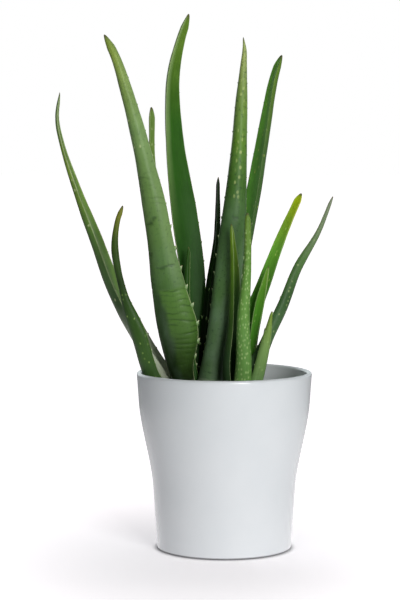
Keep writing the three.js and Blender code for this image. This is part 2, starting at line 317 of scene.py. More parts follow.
def black_polypropylene(node):
    """Injection-moulded black polypropylene: a satin skin off a lightly eroded mould, with the
    faint clouding that hard water leaves."""
    place = node("TexCoord").node.outputs["Object"]
    water = node("TexNoise", Vector=place, Scale=45.0, Detail=5.0)
    water = node("MapRange", water, 0.5, 0.8)
    colour = node("Mix.RGBA", water, linear("#242322"), linear("#3d3b38"))
    grain = node("TexNoise", Vector=place, Scale=1400.0)
    bump = node("Bump", Height=grain, Strength=0.1, Distance=0.0002)
    gloss = node("MapRange", water, To_Min=0.45, To_Max=0.65)
    return dict(Base_Color=colour, Roughness=gloss, IOR=1.49, Normal=bump)


POLYPROPYLENE = finish("black_moulded_polypropylene", black_polypropylene)
DRILLED = geometry_tree("drill drain holes", drilling, Holes="Int", Radius="Float", Circle="Float",
                        Height="Float", Finish="Material")
shell = turn("nursery_shell", nursery_outline(), NURSERY_FACETS, POLYPROPYLENE)
nursery_pot = grow(
    "plastic_nursery_pot", shell.data, DRILLED,
    Holes=DRAIN_HOLES, Radius=DRAIN_RADIUS * MM, Circle=DRAIN_CIRCLE * MM,
    Height=NURSERY_FLOOR * MM, Finish=POLYPROPYLENE,
)
bpy.data.objects.remove(shell)
install(nursery_pot, "nursery_plastic", "nursery_pot")

# ---- Potting mix ----
# A free-draining cactus mix of dark peat with crumbs, bark chips and white perlite. It fills the
# nursery pot to 8 mm below its rim and lies in low humps from watering.

SOIL_TOP = 103.3
SOIL_BOTTOM = NURSERY_FLOOR + NURSERY_WALL + 0.3
SOIL_RELIEF = 1.1
SOIL_RINGS = 60
SOIL_FACETS = 180
SOIL_AREA = 0.0095
SOIL_SEED = 11
CRUMBS = 5200
BARK_CHIPS = 420
PERLITE_GRAINS = 520

# How flat each kind of lump is, its smallest and largest size in metres, and how finely it is cut.
LUMPS = {
    "Crumbs": (0.8, 0.0005, 0.0016, 1),
    "Chips": (0.35, 0.0014, 0.0036, 1),
    "Grains": (0.9, 0.0005, 0.0014, 2),
}
LUMP_LONG = 1.5
LUMP_TURN = ((-0.6, -0.6, 0.0), (0.6, 0.6, math.tau))


def soil_relief(x, y):
    humps = np.sin(x / 7.1 + 1.3) * np.cos(y / 8.3)
    return SOIL_RELIEF * (humps + 0.6 * np.sin((x + 2 * y) / 9.7))


def soil_outline():
    """From the middle of the underside, up the pot's wall, and in over the top."""
    inside = nursery_radius(SOIL_TOP - NURSERY_FLOOR) - NURSERY_WALL - 0.3
    low = nursery_radius(SOIL_BOTTOM - NURSERY_FLOOR) - NURSERY_WALL - 2
    rise = SOIL_TOP - 1 - SOIL_BOTTOM
    wall = [(low + (inside - low) * t, SOIL_BOTTOM + rise * t) for t in np.linspace(0, 1, 8)]
    top = [(r, SOIL_TOP) for r in np.linspace(inside - 0.6, 0, SOIL_RINGS)]
    return [(0, SOIL_BOTTOM), *wall, *top]


def matt_fibre(node, dark, light, scale):
    """Damp peat, old bark or perlite: matt and rough, so it scatters light in every direction."""
    place = node("TexCoord").node.outputs["Object"]
    fibre = node("TexNoise", Vector=place, Scale=scale, Detail=6.0)
    spread = node("MapRange", fibre, 0.3, 0.7)
    colour = node("Mix.RGBA", spread, linear(dark), linear(light))
    bump = node("Bump", Height=fibre, Strength=0.5, Distance=0.0008)
    return dict(Base_Color=colour, Roughness=0.95, Normal=bump)


def strewing(node, given):
    """Roughens the top of the mix, and strews crumbs, bark chips and perlite on it."""
    up = node("SeparateXYZ", node("InputNormal")).node.outputs["Z"]
    on_top = node("Compare.GREATER_THAN", up, 0.6)
    rough = node("TexNoise", Scale=260.0, Detail=4.0)
    rough = node("MapRange", rough, To_Min=-0.0012, To_Max=0.0014)
    ground = node("SetPosition", given["Geometry"], on_top, Offset=node("CombineXYZ", Z=rough))
    layers = [ground]
    for number, (kind, (flat, small, large, cuts)) in enumerate(LUMPS.items()):
        density = node("/", given[kind], SOIL_AREA)
        points = node("DistributePointsOnFaces", ground, on_top, Density=density, Seed=given["Seed"])
        lump = node("MeshIcoSphere", 1.0, cuts)
        dents = node("MapRange", node("TexNoise", Scale=1.4 + number), To_Min=-0.5, To_Max=0.5)
        dents = node("VectorMath.SCALE", node("InputNormal"), Scale=dents)
        lump = node("SetPosition", lump, Offset=dents)
        lump = node("StoreNamedAttribute.FLOAT", lump, None, "layer", float(number), domain="FACE")
        size = node("RandomValue.FLOAT", Min=small, Max=large, Seed=number)
        scale = node("CombineXYZ", node("*", size, LUMP_LONG), size, node("*", size, flat))
        spin = node("RandomValue.FLOAT_VECTOR", *LUMP_TURN, Seed=number + 7)
        spin = node("EulerToRotation", spin)
        layers.append(node("InstanceOnPoints", points, Instance=lump, Rotation=spin, Scale=scale))
    made = node("RealizeInstances", node("JoinGeometry", layers))
    made = node("SetMaterial", made, None, given["Peat"])
    layer = node("InputNamedAttribute.FLOAT", "layer")
    for kind, level in (("Bark", 0.5), ("Perlite", 1.5)):
        above = node("Compare.GREATER_THAN", layer, level)
        made = node("SetMaterial", made, above, given[kind])
    return made


PEAT = finish("damp_peat_mix", matt_fibre, "#1d140d", "#4a3626", 900.0)
STREWN = geometry_tree("strew potting mix", strewing, Crumbs="Int", Chips="Int", Grains="Int",
                       Seed="Int", Peat="Material", Bark="Material", Perlite="Material")
body = turn("soil_body", soil_outline(), SOIL_FACETS, PEAT)
for vertex in body.data.vertices:
    if vertex.co.z > (SOIL_TOP - 0.5) * MM:
        vertex.co.z += float(soil_relief(vertex.co.x / MM, vertex.co.y / MM)) * MM
soil = grow(
    "strewn_potting_mix", body.data, STREWN,
    Crumbs=CRUMBS, Chips=BARK_CHIPS, Grains=PERLITE_GRAINS, Seed=SOIL_SEED, Peat=PEAT,
    Bark=finish("composted_bark", matt_fibre, "#3a2415", "#7a5638", 500.0),
    Perlite=finish("expanded_perlite", matt_fibre, "#b9b4a8", "#efece4", 1500.0),
)
bpy.data.objects.remove(body)
install(soil, "potting_mix", "soil")

# ---- Stems ----
# Each plant has one short fleshy stem, sunk in the mix, that its leaves grow round. Its olive skin
# is ringed by the pale scars of the first leaves.

# Where each stem stands, its radius, and how far it reaches above and below the mix.
STEMS = {
    "main_stem": ((-17, 9), 8, 14, 46),
    "offset_stem": ((13, -17), 6, 11, 38),
}
STEM_FACETS = 48
SCAR_SPACING = 3.2
SCAR_HEIGHT = 0.45
CROWN_FLATNESS = 0.6


def stem_outline(radius, above, below):
    """From its foot, up the scarred side, and over the rounded crown."""
    top = SOIL_TOP + above
    bottom = SOIL_TOP - below
    crown = CROWN_FLATNESS * radius
    side = []
    for z in np.arange(bottom + 0.5 * below, top - crown, 0.4):
        scar = max(0.0, math.cos(math.tau * z / SCAR_SPACING)) ** 6
        side.append((radius - SCAR_HEIGHT + SCAR_HEIGHT * scar, z))
    dome = [(radius * math.cos(a), top - crown + crown * math.sin(a))
            for a in np.radians(np.linspace(5, 85, 8))]
    return [(0, bottom), (0.5 * radius, bottom + 0.4), (0.72 * radius, bottom + 2), *side, *dome, (0, top)]


def corky_skin(node):
    """Corky olive-brown skin: matt, with paler rings where leaves have come away."""
    place = node("TexCoord").node.outputs["Object"]
    rings = node("Mapping", place, Scale=(120.0, 120.0, 900.0))
    cork = node("TexNoise", Vector=rings, Scale=1.0, Detail=4.0)
    spread = node("MapRange", cork, 0.3, 0.7)
    colour = node("Mix.RGBA", spread, linear("#6c6a3f"), linear("#b3ae83"))
    bump = node("Bump", Height=cork, Strength=0.4, Distance=0.0005)
    return dict(Base_Color=colour, Roughness=0.75, Normal=bump)


CORK = finish("corky_stem_skin", corky_skin)
for stem_node, (axis, radius, above, below) in STEMS.items():
    outline = stem_outline(radius, above, below)
    stem = turn(stem_node.replace("stem", "leaf_stem"), outline, STEM_FACETS, CORK, axis)
    install(stem, "stem_skin", stem_node)

# ---- Leaves ----
# Fleshy aloe blades, rolled to a channel at the base and flatter at the tip, that clasp the stem one
# inside another. Both margins carry a pale edge and hooked horny teeth.

BLADE_STEP = 1.6
AROUND = 44
BLADE_WELD = 0.02
TIP_START = 0.965
BACK_POWER = 1.5
FACE_DIP = 0.1
SWELL_HEIGHT = 0.9
CREASE_SPACING = 4.8
CREASE_DEPTH = 0.6
SHEATH_DEPTH = 0.5
TOOTH_FIRST = 0.15
TOOTH_LAST = 0.9
TOOTH_LEAN = 0.45
TOOTH_LENGTH = 3.4
TOOTH_ROOT = 2.5
TOOTH_POINT = 0.05
TOOTH_SUNK = 1.2
TOOTH_HOOK = 0.11
TOOTH_FLATNESS = 0.32
NO_FOLD = (-99, 0, 0)

# What a leaf has where its own values don't say. A share is one of the blade's length from its base,
# and a side runs from -1 to 1 across it.
PLAIN_LEAF = dict(
    tone_at=(0.07, 0.32, 0.72, 0.96),  # shares where the tones stand
    inner_fade=(1.1, 1.2),  # shares over which the inner tone ends
    streak=(0, 1, "#ffffff", 0.0, 0.3, 0.6),  # sides, tone, weight and first shares of a painted highlight band
    pale_base=0.09,  # share below which the skin is blanched
    pale_margin=0.35,  # weight of the pale rim
    rim=(0.7, 0.25),  # mm from the margin where the rim starts and is full
    bloom=0.05,  # weight of the grey wax
    shine=0.1,
    scuffs=0.15,
    flecks=0.0,  # share of the cells that hold a fleck
    fleck_tone="#d6e0a8",
    fleck_cell=(2.2, 4.6),  # mm across and along
    fleck_side=0.0,  # middle of the flecked band
    fleck_band=1.1,  # half its width
    fleck_span=(0.02, 0.94),  # shares it runs between
    tooth_size=0.8,
    wrinkles=0.3,  # weight of the creases
    sheath=-9,  # mm from the base to the sheath's top, below 0 for none
    folds=[],  # up to three: mm from the base, side, and half its width
    slant=0,  # mm that the third fold falls towards side 1
)

# midrib: points through the middle of the blade in mm; widths: between the margins, at even steps;
# thick: at the base; curl: half angle of the roll at base and tip; faces: which way the hollow face
# looks at base and tip, in degrees from x; teeth: about how many mm apart; tones: skin from base to
# tip, darkened with painted shade in some leaves and lightened with painted light in others, as
# noted; inner: the hollow face.
LEAVES = {
    # Its near-black tones and inner face are painted shade, as it stands deep in the crown.
    "leaf_heart": dict(
        midrib=[[-13, 10.6, 114], [-13.2, 11.6, 148], [-11.2, 13, 196], [-5.2, 13, 243],
                [-4.5, 14, 291]],
        widths=[11, 11, 8.7, 5.6, 2.9], thick=5, curl=[60, 20], faces=[200, 200], teeth=27,
        tones=["#0a1406", "#0d1909", "#243c18", "#263420"], inner="#0e1c0a", pale_margin=0.0, bloom=0.0,
        tooth_size=0.6,
    ),
    "leaf_young": dict(
        midrib=[[-22, 7.5, 113], [-29, 8, 146], [-31, 11, 191], [-28, 15, 236]],
        widths=[11, 12, 7.5, 2], thick=4, curl=[60, 15], faces=[20, 60], teeth=17,
        tones=["#1e4512", "#21480f", "#254c14", "#31581c"], inner="#1f4711", pale_margin=0.7, bloom=0.0,
        tooth_size=0.5,
    ),
    "leaf_front": dict(
        midrib=[[-14, -2, 108], [-8, -3, 151], [1.3, -5, 201], [6.4, -4, 250], [10.4, -2, 300],
                [13, 0, 350], [14.6, 1, 376], [15.4, 1, 389], [14.4, 1, 399]],
        widths=[19, 15, 20.4, 19.3, 13.6, 9.1, 2.6], thick=9, curl=[55, 14], faces=[95, 85], teeth=17,
        tones=["#3d5337", "#587d46", "#385f20", "#446c22", "#628c2e", "#7c9a42", "#a8b66a"],
        inner="#3d6c22", tone_at=(0.07, 0.36, 0.52, 0.62, 0.72, 0.84, 0.95), pale_margin=0.9,
        rim=(1.2, 0.5), bloom=0.45, shine=0.22, scuffs=0.7, flecks=0.6, fleck_tone="#b4c478",
        fleck_cell=(3.0, 5.6), fleck_side=-0.1, fleck_band=0.36, fleck_span=(0.56, 0.93),
        folds=[(153, -0.1, 0.3)],
    ),
    # Its lower tones are darkened with painted shade, and its band is a painted highlight.
    "leaf_back_left": dict(
        midrib=[[-20, 20, 108], [-23.2, 22.6, 154], [-25.6, 29, 207], [-33.1, 35, 261],
                [-40.4, 41, 314], [-41.9, 45, 368], [-35.5, 46, 399], [-28, 46, 420]],
        widths=[19, 13, 20, 21.5, 15.7, 11.2, 5.8], thick=9, curl=[36, 12], faces=[-85, -50], teeth=18,
        tones=["#14350b", "#1f460e", "#437826", "#92b442"], inner="#245212",
        streak=(-0.35, -0.75, "#88a666", 0.55, 0.42, 0.7), pale_margin=0.3, shine=0.08, tooth_size=0.35,
    ),
    # Its bright inner tone is painted light on a hollow that lies in shade.
    "leaf_back_right": dict(
        midrib=[[-8, 17, 108], [1.9, 21, 158], [12.8, 27, 215], [24.5, 33, 273], [34, 37, 330],
                [40.3, 38, 367], [46.1, 38, 387]],
        widths=[17, 11, 16.5, 14.1, 10.6, 6.6], thick=8, curl=[60, 20], faces=[-130, -150], teeth=19,
        tones=["#365a2c", "#42642f", "#4c6c38", "#66862f"], inner="#70c044", pale_margin=0.08,
        flecks=0.1, fleck_tone="#a4b85c",
    ),
    # Its near-black first tone is painted shade at the base, and its band is a painted highlight.
    "leaf_front_left": dict(
        midrib=[[-25.4, 1, 107], [-36.5, -7, 139], [-42.2, -15, 176], [-48.2, -21, 214],
                [-53.3, -26, 251], [-59.8, -28, 289], [-68.1, -30, 327], [-78, -30, 364],
                [-83.4, -30, 381], [-91.8, -28, 399]],
        widths=[15, 17.6, 35.4, 29.9, 22.5, 19.9, 14.6, 11.5, 8.6, 5.6], thick=10, curl=[60, 14],
        faces=[45, 75], teeth=19, tones=["#0c1606", "#44692d", "#567a36", "#7f9f5c", "#93a848"],
        inner="#406c28", tone_at=(0.13, 0.33, 0.44, 0.76, 0.96),
        streak=(-0.35, -0.85, "#9cb87c", 0.3, 0.25, 0.4), pale_margin=0.6, rim=(1.1, 0.3), bloom=0.25,
        shine=0.25, scuffs=0.35, flecks=0.05, fleck_span=(0.62, 0.93), tooth_size=0.95, wrinkles=1.0,
        sheath=104, folds=[(120.5, -0.4, 0.5), (132, 0.5, 0.3), (157, 0.0, 0.45)], slant=7.6,
    ),
    "leaf_rear": dict(
        midrib=[[-27, 21.5, 107], [-33, 29.5, 149], [-41, 36, 197], [-50.2, 41, 246], [-57.3, 45, 296],
                [-58, 46, 346]],
        widths=[16, 12.5, 12.5, 10.4, 5.1, 4.9], thick=6, curl=[60, 20], faces=[-60, -60], teeth=18,
        tones=["#44702a", "#577f32", "#84a242", "#94a65c"], inner="#4a7a2a", bloom=0.1, shine=0.12,
        flecks=0.03, tooth_size=0.5,
    ),
    # Its pale first tone and long blanched base are partly painted light on the shaded foot of its
    # channel, and its wide pale rim and bright inner face are partly a painted highlight along the blade.
    "leaf_far_left": dict(
        midrib=[[-30.9, 11, 107], [-49.5, 13.5, 133], [-71.7, 15.5, 168], [-89.7, 16, 204],
                [-102.7, 18, 241], [-116.4, 18, 279], [-127.9, 15, 317], [-131.1, 13, 337],
                [-128.5, 12, 357]],
        widths=[17.2, 16.6, 19.5, 15.8, 9, 4.1, 1.8], thick=7, curl=[60, 35], faces=[-10, -25],
        teeth=18, tones=["#c8d2c0", "#3a5532", "#5c8034", "#7f9c38", "#48683a"], inner="#7ea24e",
        tone_at=(0.19, 0.3, 0.6, 0.78, 0.97), pale_base=0.36, pale_margin=0.6, rim=(1.1, 0.4),
        bloom=0.2, shine=0.2, flecks=0.04, tooth_size=0.3,
    ),
    "leaf_left": dict(
        midrib=[[-34.7, 2.5, 107], [-42.3, -0.8, 116], [-57.6, -4, 132], [-69.5, -9.5, 170],
                [-78, -11, 197], [-85.6, -14, 235], [-83.2, -15, 257], [-78.6, -15, 269]],
        widths=[19.4, 15.4, 15.9, 6.4, 5.6, 2.9], thick=7, curl=[60, 35], faces=[15, 40], teeth=15,
        tones=["#263817", "#3e5f28", "#35541f", "#213810", "#3a5018", "#84862e"], inner="#4c7a24",
        tone_at=(0.07, 0.3, 0.5, 0.64, 0.84, 0.98), bloom=0.1, shine=0.15, flecks=0.16,
        fleck_tone="#8fae5c", fleck_cell=(1.6, 3.2), tooth_size=0.5,
    ),
    "offset_leaf_heart": dict(
        midrib=[[14, -14.5, 111], [20, -13.8, 144], [26, -14.6, 183], [34, -14, 222]],
        widths=[9, 8, 6.5, 7, 2], thick=4.5, curl=[60, 25], faces=[-120, -110], teeth=15,
        tones=["#3c7a2c", "#50902c", "#5c9a2a", "#8cb040"], inner="#488826", shine=0.12, flecks=0.2,
        fleck_tone="#93b860", fleck_cell=(1.6, 3.6), tooth_size=0.45,
    ),
    "offset_leaf_channel": dict(
        midrib=[[5, -16, 107], [1, -15, 142], [5, -17, 179], [6, -18, 217], [5, -18, 255]],
        widths=[13, 16, 13.5, 9, 1.5], thick=5, curl=[65, 45], faces=[-20, -30], teeth=15,
        tones=["#1c3016", "#26401e", "#4a6c1e", "#6f9226"], inner="#2e5a24", inner_fade=(0.6, 0.74),
        pale_margin=0.3, flecks=0.03, tooth_size=0.2,
    ),
    "offset_leaf_back": dict(
        midrib=[[16, -8, 107], [20.9, -5.5, 140], [21.2, -2.8, 176], [33, -1, 211], [46.1, 3, 246],
                [60.3, 6, 278]],
        widths=[13, 6.7, 12.1, 10.8, 7.5, 5.1], thick=5, curl=[60, 25], faces=[-110, -120], teeth=16,
        tones=["#5a9850", "#437a32", "#386a22", "#88c24a", "#d6da0c"], inner="#4a8c20",
        tone_at=(0.2, 0.36, 0.5, 0.74, 0.96), pale_margin=0.15, bloom=0.0, flecks=0.02,
        fleck_tone="#a4c860", tooth_size=0.4,
    ),
    "offset_leaf_right": dict(
        midrib=[[21, -17.5, 107], [24.2, -19, 135], [34.1, -16.5, 164], [46.6, -12.5, 191],
                [57.6, -10, 220], [73, -10, 248], [83.8, -10, 276]],
        widths=[14, 16, 9.8, 11.4, 8.6, 4.7, 2.1], thick=6, curl=[60, 30], faces=[155, 165], teeth=17,
        tones=["#2a4820", "#446838", "#2f5024", "#52763a", "#8a9478"], inner="#35591f",
        tone_at=(0.1, 0.36, 0.52, 0.7, 0.96), pale_margin=0.1, bloom=0.15, shine=0.2, flecks=0.1,
        fleck_tone="#96aa6e", fleck_cell=(1.5, 3.2),
    ),
    "offset_leaf_front": dict(
        midrib=[[11, -26, 107], [14, -31, 145], [14, -33, 185], [17, -34, 225], [17, -34, 264]],
        widths=[14, 11.5, 9.5, 6, 4.5], thick=6, curl=[60, 20], faces=[85, 80], teeth=16,
        tones=["#6a964e", "#629044", "#66943f", "#6c8a36"], inner="#40782a", shine=0.15, flecks=0.75,
        fleck_tone="#a9c67e", fleck_cell=(1.4, 3.8), tooth_size=0.3,
    ),
    "offset_leaf_low": dict(
        midrib=[[20, -25, 107], [26, -28, 133], [32, -31, 161], [36, -34, 189]],
        widths=[12, 10, 8.5, 1], thick=4.5, curl=[60, 40], faces=[135, 132], teeth=12,
        tones=["#5f8850", "#72955a", "#7a9a50", "#748c2c"], inner="#4c7430", bloom=0.1, shine=0.15,
        flecks=0.1, fleck_tone="#9ab873", fleck_cell=(1.4, 3.4), tooth_size=0.4,
    ),
}
LEAVES = {title: PLAIN_LEAF | leaf for title, leaf in LEAVES.items()}


def midrib_curve(points, steps=80):
    """A smooth curve through the midrib's points, with the distance along it."""
    points = np.array(points, float)
    path = np.vstack([2 * points[0] - points[1], points, 2 * points[-1] - points[-2]])
    pieces = []
    for p0, p1, p2, p3 in zip(path, path[1:], path[2:], path[3:]):
        d0, d1, d2 = (math.sqrt(np.linalg.norm(b - a)) for a, b in ((p0, p1), (p1, p2), (p2, p3)))
        t1 = ((p1 - p0) / d0 - (p2 - p0) / (d0 + d1) + (p2 - p1) / d1) * d1
        t2 = ((p2 - p1) / d1 - (p3 - p1) / (d1 + d2) + (p3 - p2) / d2) * d1
        t = np.linspace(0, 1, steps, endpoint=False)[:, None]
        square, cube = 3 * (p2 - p1) - 2 * t1 - t2, 2 * (p1 - p2) + t1 + t2
        pieces.append(p1 + t1 * t + square * t**2 + cube * t**3)
    curve = np.vstack([*pieces, points[-1:]])
    run = np.r_[0, np.cumsum(np.linalg.norm(np.diff(curve, axis=0), axis=1))]
    return curve, run


def even_spline(values, share):
    """A smooth value between numbers that are given at even steps."""
    values = np.array(values, float)
    last = len(values) - 1
    place = np.clip(share * last, 0, last)
    i = np.minimum(place.astype(int), last - 1)
    t = place - i
    before, a, b, after = (values[np.clip(i + step, 0, last)] for step in (-1, 0, 1, 2))
    rise, fall = (b - before) / 2, (after - a) / 2
    return (2 * (a - b) + rise + fall) * t**3 + (3 * (b - a) - 2 * rise - fall) * t**2 + rise * t + a


def stations(leaf, share):
    """Place, frame and size of the blade's section at each share of its length."""
    curve, run = midrib_curve(leaf["midrib"])

    def at(s):
        return np.stack([np.interp(np.clip(s, 0, 1) * run[-1], run, axis) for axis in curve.T], -1)

    along = at(share + 0.004) - at(share - 0.004)
    along /= np.linalg.norm(along, axis=1)[:, None]
    face = np.radians(leaf["faces"][0] + (leaf["faces"][1] - leaf["faces"][0]) * share)
    hollow = np.stack([np.cos(face), np.sin(face), 0 * face], -1)
    hollow -= (hollow * along).sum(1)[:, None] * along
    hollow /= np.linalg.norm(hollow, axis=1)[:, None]
    width = even_spline(leaf["widths"], share)
    thick = np.minimum(leaf["thick"] * (1 - 0.35 * share), 0.45 * width + 0.9)
    roll = leaf["curl"][0] + (leaf["curl"][1] - leaf["curl"][0]) * smooth_step(0, 0.6, share)
    return dict(
        at=at(share), along=along, hollow=hollow, across=np.cross(along, hollow),
        half=width / 2, thick=thick, roll=np.radians(roll),
    )


def margin_point(row, side):
    """Points on the arc between the margins, which are its sides 1 and -1."""
    bend = row["roll"] * side
    reach = row["half"] / np.sin(row["roll"])
    return (
        row["at"]
        + row["across"] * (reach * np.sin(bend))[:, None]
        + row["hollow"] * (reach - reach * np.cos(bend) + row["thick"] / 2)[:, None]
    )


def blade_plan(title, leaf):
    """The blade's sections and teeth as loose points with attributes, for the tree to grow."""
    length = midrib_curve(leaf["midrib"])[1][-1]
    count = int(length / (BLADE_STEP / 2 if leaf["sheath"] > 0 else BLADE_STEP))
    near_tip = 1 - np.array([0.15, 0.4, 0.7]) / count
    share = np.sort(np.r_[0, 0, np.linspace(0, 1, count), near_tip])
    row = stations(leaf, share)
    tip = np.clip((share - TIP_START) / (1 - TIP_START), 0, 1)
    shrink = (1 - tip) ** 0.5
    shrink[:3] = [0, 0.7, 1]

    teeth = []
    place = TOOTH_FIRST
    while place < TOOTH_LAST:
        teeth.append(place)
        place += (0.6 + 0.65 * place) * leaf["teeth"] / length
    teeth = np.array(teeth)
    tooth_row = stations(leaf, teeth)
    roots, points = [], []
    for side in (-1, 1):
        root = margin_point(tooth_row, side)
        out = root - margin_point(tooth_row, 0.9 * side)
        out /= np.linalg.norm(out, axis=1)[:, None]
        point = out + TOOTH_LEAN * tooth_row["along"]
        roots.append(root)
        points.append(point / np.linalg.norm(point, axis=1)[:, None])
    sizes = leaf["tooth_size"] * (1.15 - 0.8 * smooth_step(0.4, 0.62, teeth))

    mesh = bpy.data.meshes.new(title)
    mesh.from_pydata((np.vstack([row["at"], *roots]) * MM).tolist(), [], [])
    no_section, no_tooth = np.zeros(2 * len(teeth)), np.zeros(len(share))
    columns = {
        "half": np.r_[row["half"] * MM, no_section],
        "thick": np.r_[row["thick"] * MM, no_section],
        "roll": np.r_[row["roll"], no_section + 1],
        "shrink": np.r_[shrink, no_section],
        "share": np.r_[share, no_section],
        "tooth": np.r_[no_tooth, no_section + 1],
        "size": np.r_[no_tooth, sizes, sizes],
        "across": np.vstack([row["across"], *points]),
        "hollow": np.vstack([row["hollow"], np.tile(tooth_row["along"], (2, 1))]),
    }
    for label, values in columns.items():
        vector = values.ndim == 2
        layer = mesh.attributes.new(label, "FLOAT_VECTOR" if vector else "FLOAT", "POINT")
        layer.data.foreach_set("vector" if vector else "value", values.astype(np.float32).ravel())
    return mesh, length


def growing(node, given):
    """Skins a rolled, round-backed section along the midrib, wrinkles it, and sets its teeth."""
    is_tooth = node("InputNamedAttribute.FLOAT", "tooth")
    roots, midrib = node("SeparateGeometry", given["Geometry"], is_tooth).node.outputs
    rows = node("AttributeDomainSize", midrib, component="MESH")
    columns = node("+", given["Around"], 1.0)
    grid = node("MeshGrid", 1.0, 1.0, rows, columns)
    row = node("Math.FLOOR", node("/", node("InputIndex"), columns))
    column = node("Math.MODULO", node("InputIndex"), columns)

    def station(label, kind="FLOAT"):
        field = node("InputNamedAttribute." + kind, label)
        return node("SampleIndex." + kind, midrib, field, row)

    place = node("SampleIndex.FLOAT_VECTOR", midrib, node("InputPosition"), row)
    half, thick, roll, shrink, share = map(station, ("half", "thick", "roll", "shrink", "share"))
    angle = node("*", node("/", column, given["Around"]), math.tau)
    side = node("*", node("Math.COSINE", angle), -1.0)
    swell = node("Math.SINE", angle)
    back = node("Math.POWER", node("Math.MAXIMUM", swell, 0.0), BACK_POWER)
    dip = node("*", node("Math.MINIMUM", swell, 0.0), FACE_DIP)
    out = node("*", node("+", back, dip), thick)
    bend = node("*", roll, side)
    reach = node("/", half, node("Math.SINE", roll))
    radius = node("+", reach, out)
    sideways = node("*", radius, node("Math.SINE", bend))
    inwards = node("-", reach, node("*", radius, node("Math.COSINE", bend)))
    inwards = node("+", inwards, node("*", thick, 0.5))
    sideways = node("VectorMath.SCALE", station("across", "FLOAT_VECTOR"), Scale=sideways)
    inwards = node("VectorMath.SCALE", station("hollow", "FLOAT_VECTOR"), Scale=inwards)
    off = node("VectorMath.SCALE", node("VectorMath.ADD", sideways, inwards), Scale=shrink)
    skin = node("SetPosition", grid, None, node("VectorMath.ADD", place, off))

    along_mm = node("*", share, given["Length"])
    across_mm = node("*", node("*", side, half), 1000.0)
    edge_mm = node("*", node("-", 1.0, node("Math.ABSOLUTE", side)), half)
    edge_mm = node("*", node("+", edge_mm, node("*", thick, back)), 1000.0)
    facing = node("Math.MULTIPLY_ADD", swell, 0.5, 0.5)
    for label, *values in (("mm", across_mm, along_mm, edge_mm), ("share", share, facing, side)):
        label, packed = "blade_" + label, node("CombineXYZ", *values)
        skin = node("StoreNamedAttribute.FLOAT_VECTOR", skin, None, label, packed, domain="POINT")
    skin = node("MergeByDistance", skin, None, BLADE_WELD * MM)

    stored = node("Field", "blade_mm")
    along = node("SeparateXYZ", stored).node.outputs["Y"]
    _, facing, side = node("SeparateXYZ", node("Field", "blade_share")).node.outputs
    seeded = node("CombineXYZ", Z=given["Seed"])

    def uneven(scale, detail=1.0):
        spot = node("VectorMath.ADD", node("VectorMath.MULTIPLY", stored, scale), seeded)
        return node("TexNoise", Vector=spot, Scale=1.0, Detail=detail)

    # The sheath is a sunk patch on the back, which ends at its top and at a slanting border.
    under = node("-", given["Sheath"], along)
    border = node("MapRange", along, 30.0, 108.0, To_Min=-0.3, To_Max=0.12)
    inside = node("-", border, side)
    on_back = node("Smooth", facing, 0.45, 0.6)
    started = node("Smooth", under, 0.0, 2.5)
    bordered = node("Smooth", inside, 0.0, 0.07)
    sheath = node("*", node("*", started, bordered), on_back)

    # Creases run across the sheath at even steps, swaying and fading, and stray ones elsewhere.
    # Their mask sinks the skin and is also laid on it as painted shade.
    sway = node("*", uneven((0.10, 0.05, 0.0)), 9.0)
    bow = node("*", node("*", side, side), 3.5)
    ripple = node("/", node("+", node("+", along, sway), bow), CREASE_SPACING)
    ripple = node("Math.ABSOLUTE", node("-", node("Math.FRACT", ripple), 0.5))
    ripple = node("-", 1.0, node("Smooth", ripple, 0.0, 0.2))
    faded = node("Smooth", uneven((0.10, 0.16, 0.0)), 0.38, 0.58)
    stray = node("*", node("Smooth", uneven((0.05, 0.03, 0.0)), 0.56, 0.68), 0.55)
    where = node("Math.MAXIMUM", node("*", sheath, node("Smooth", along, 30.0, 52.0)), stray)
    crease_and_shade = node("*", node("*", node("*", ripple, faded), where), given["Wrinkle"])

    wobble = node("*", node("-", uneven((0.25, 0.12, 0.0)), 0.5), 9.0)
    for number in (1, 2, 3):
        fold = node("SeparateXYZ", given[f"Fold_{number}"]).node.outputs
        near = node("-", node("-", along, fold["X"]), wobble)
        if number == 3:
            near = node("Math.MULTIPLY_ADD", side, given["Slant"], near)
        near = node("-", 1.0, node("Smooth", node("Math.ABSOLUTE", near), 0.2, 1.5))
        off = node("Math.ABSOLUTE", node("-", side, fold["Y"]))
        within = node("Smooth", node("-", fold["Z"], off), 0.0, 0.15)
        crease_and_shade = node("Math.MAXIMUM", crease_and_shade, node("*", near, within))
    crease_and_shade = node("*", crease_and_shade, on_back)

    # Outside that border painted shade darkens the skin towards it.
    shaded = node("*", node("Smooth", inside, -0.5, -0.01), node("Smooth", under, 0.0, 8.0))
    shaded = node("*", shaded, node("-", 1.0, node("Smooth", inside, -0.01, 0.03)))
    marks = node("CombineXYZ", crease_and_shade, sheath, shaded)
    skin = node("StoreNamedAttribute.FLOAT_VECTOR", skin, None, "blade_marks", marks, domain="POINT")

    lumps = node("*", node("-", uneven((0.06, 0.03, 0.0), 2.0), 0.5), SWELL_HEIGHT * MM)
    depth = node("-", lumps, node("*", crease_and_shade, CREASE_DEPTH * MM))
    depth = node("-", depth, node("*", sheath, SHEATH_DEPTH * MM))
    skin = node("SetPosition", skin, Offset=node("VectorMath.SCALE", node("InputNormal"), Scale=depth))

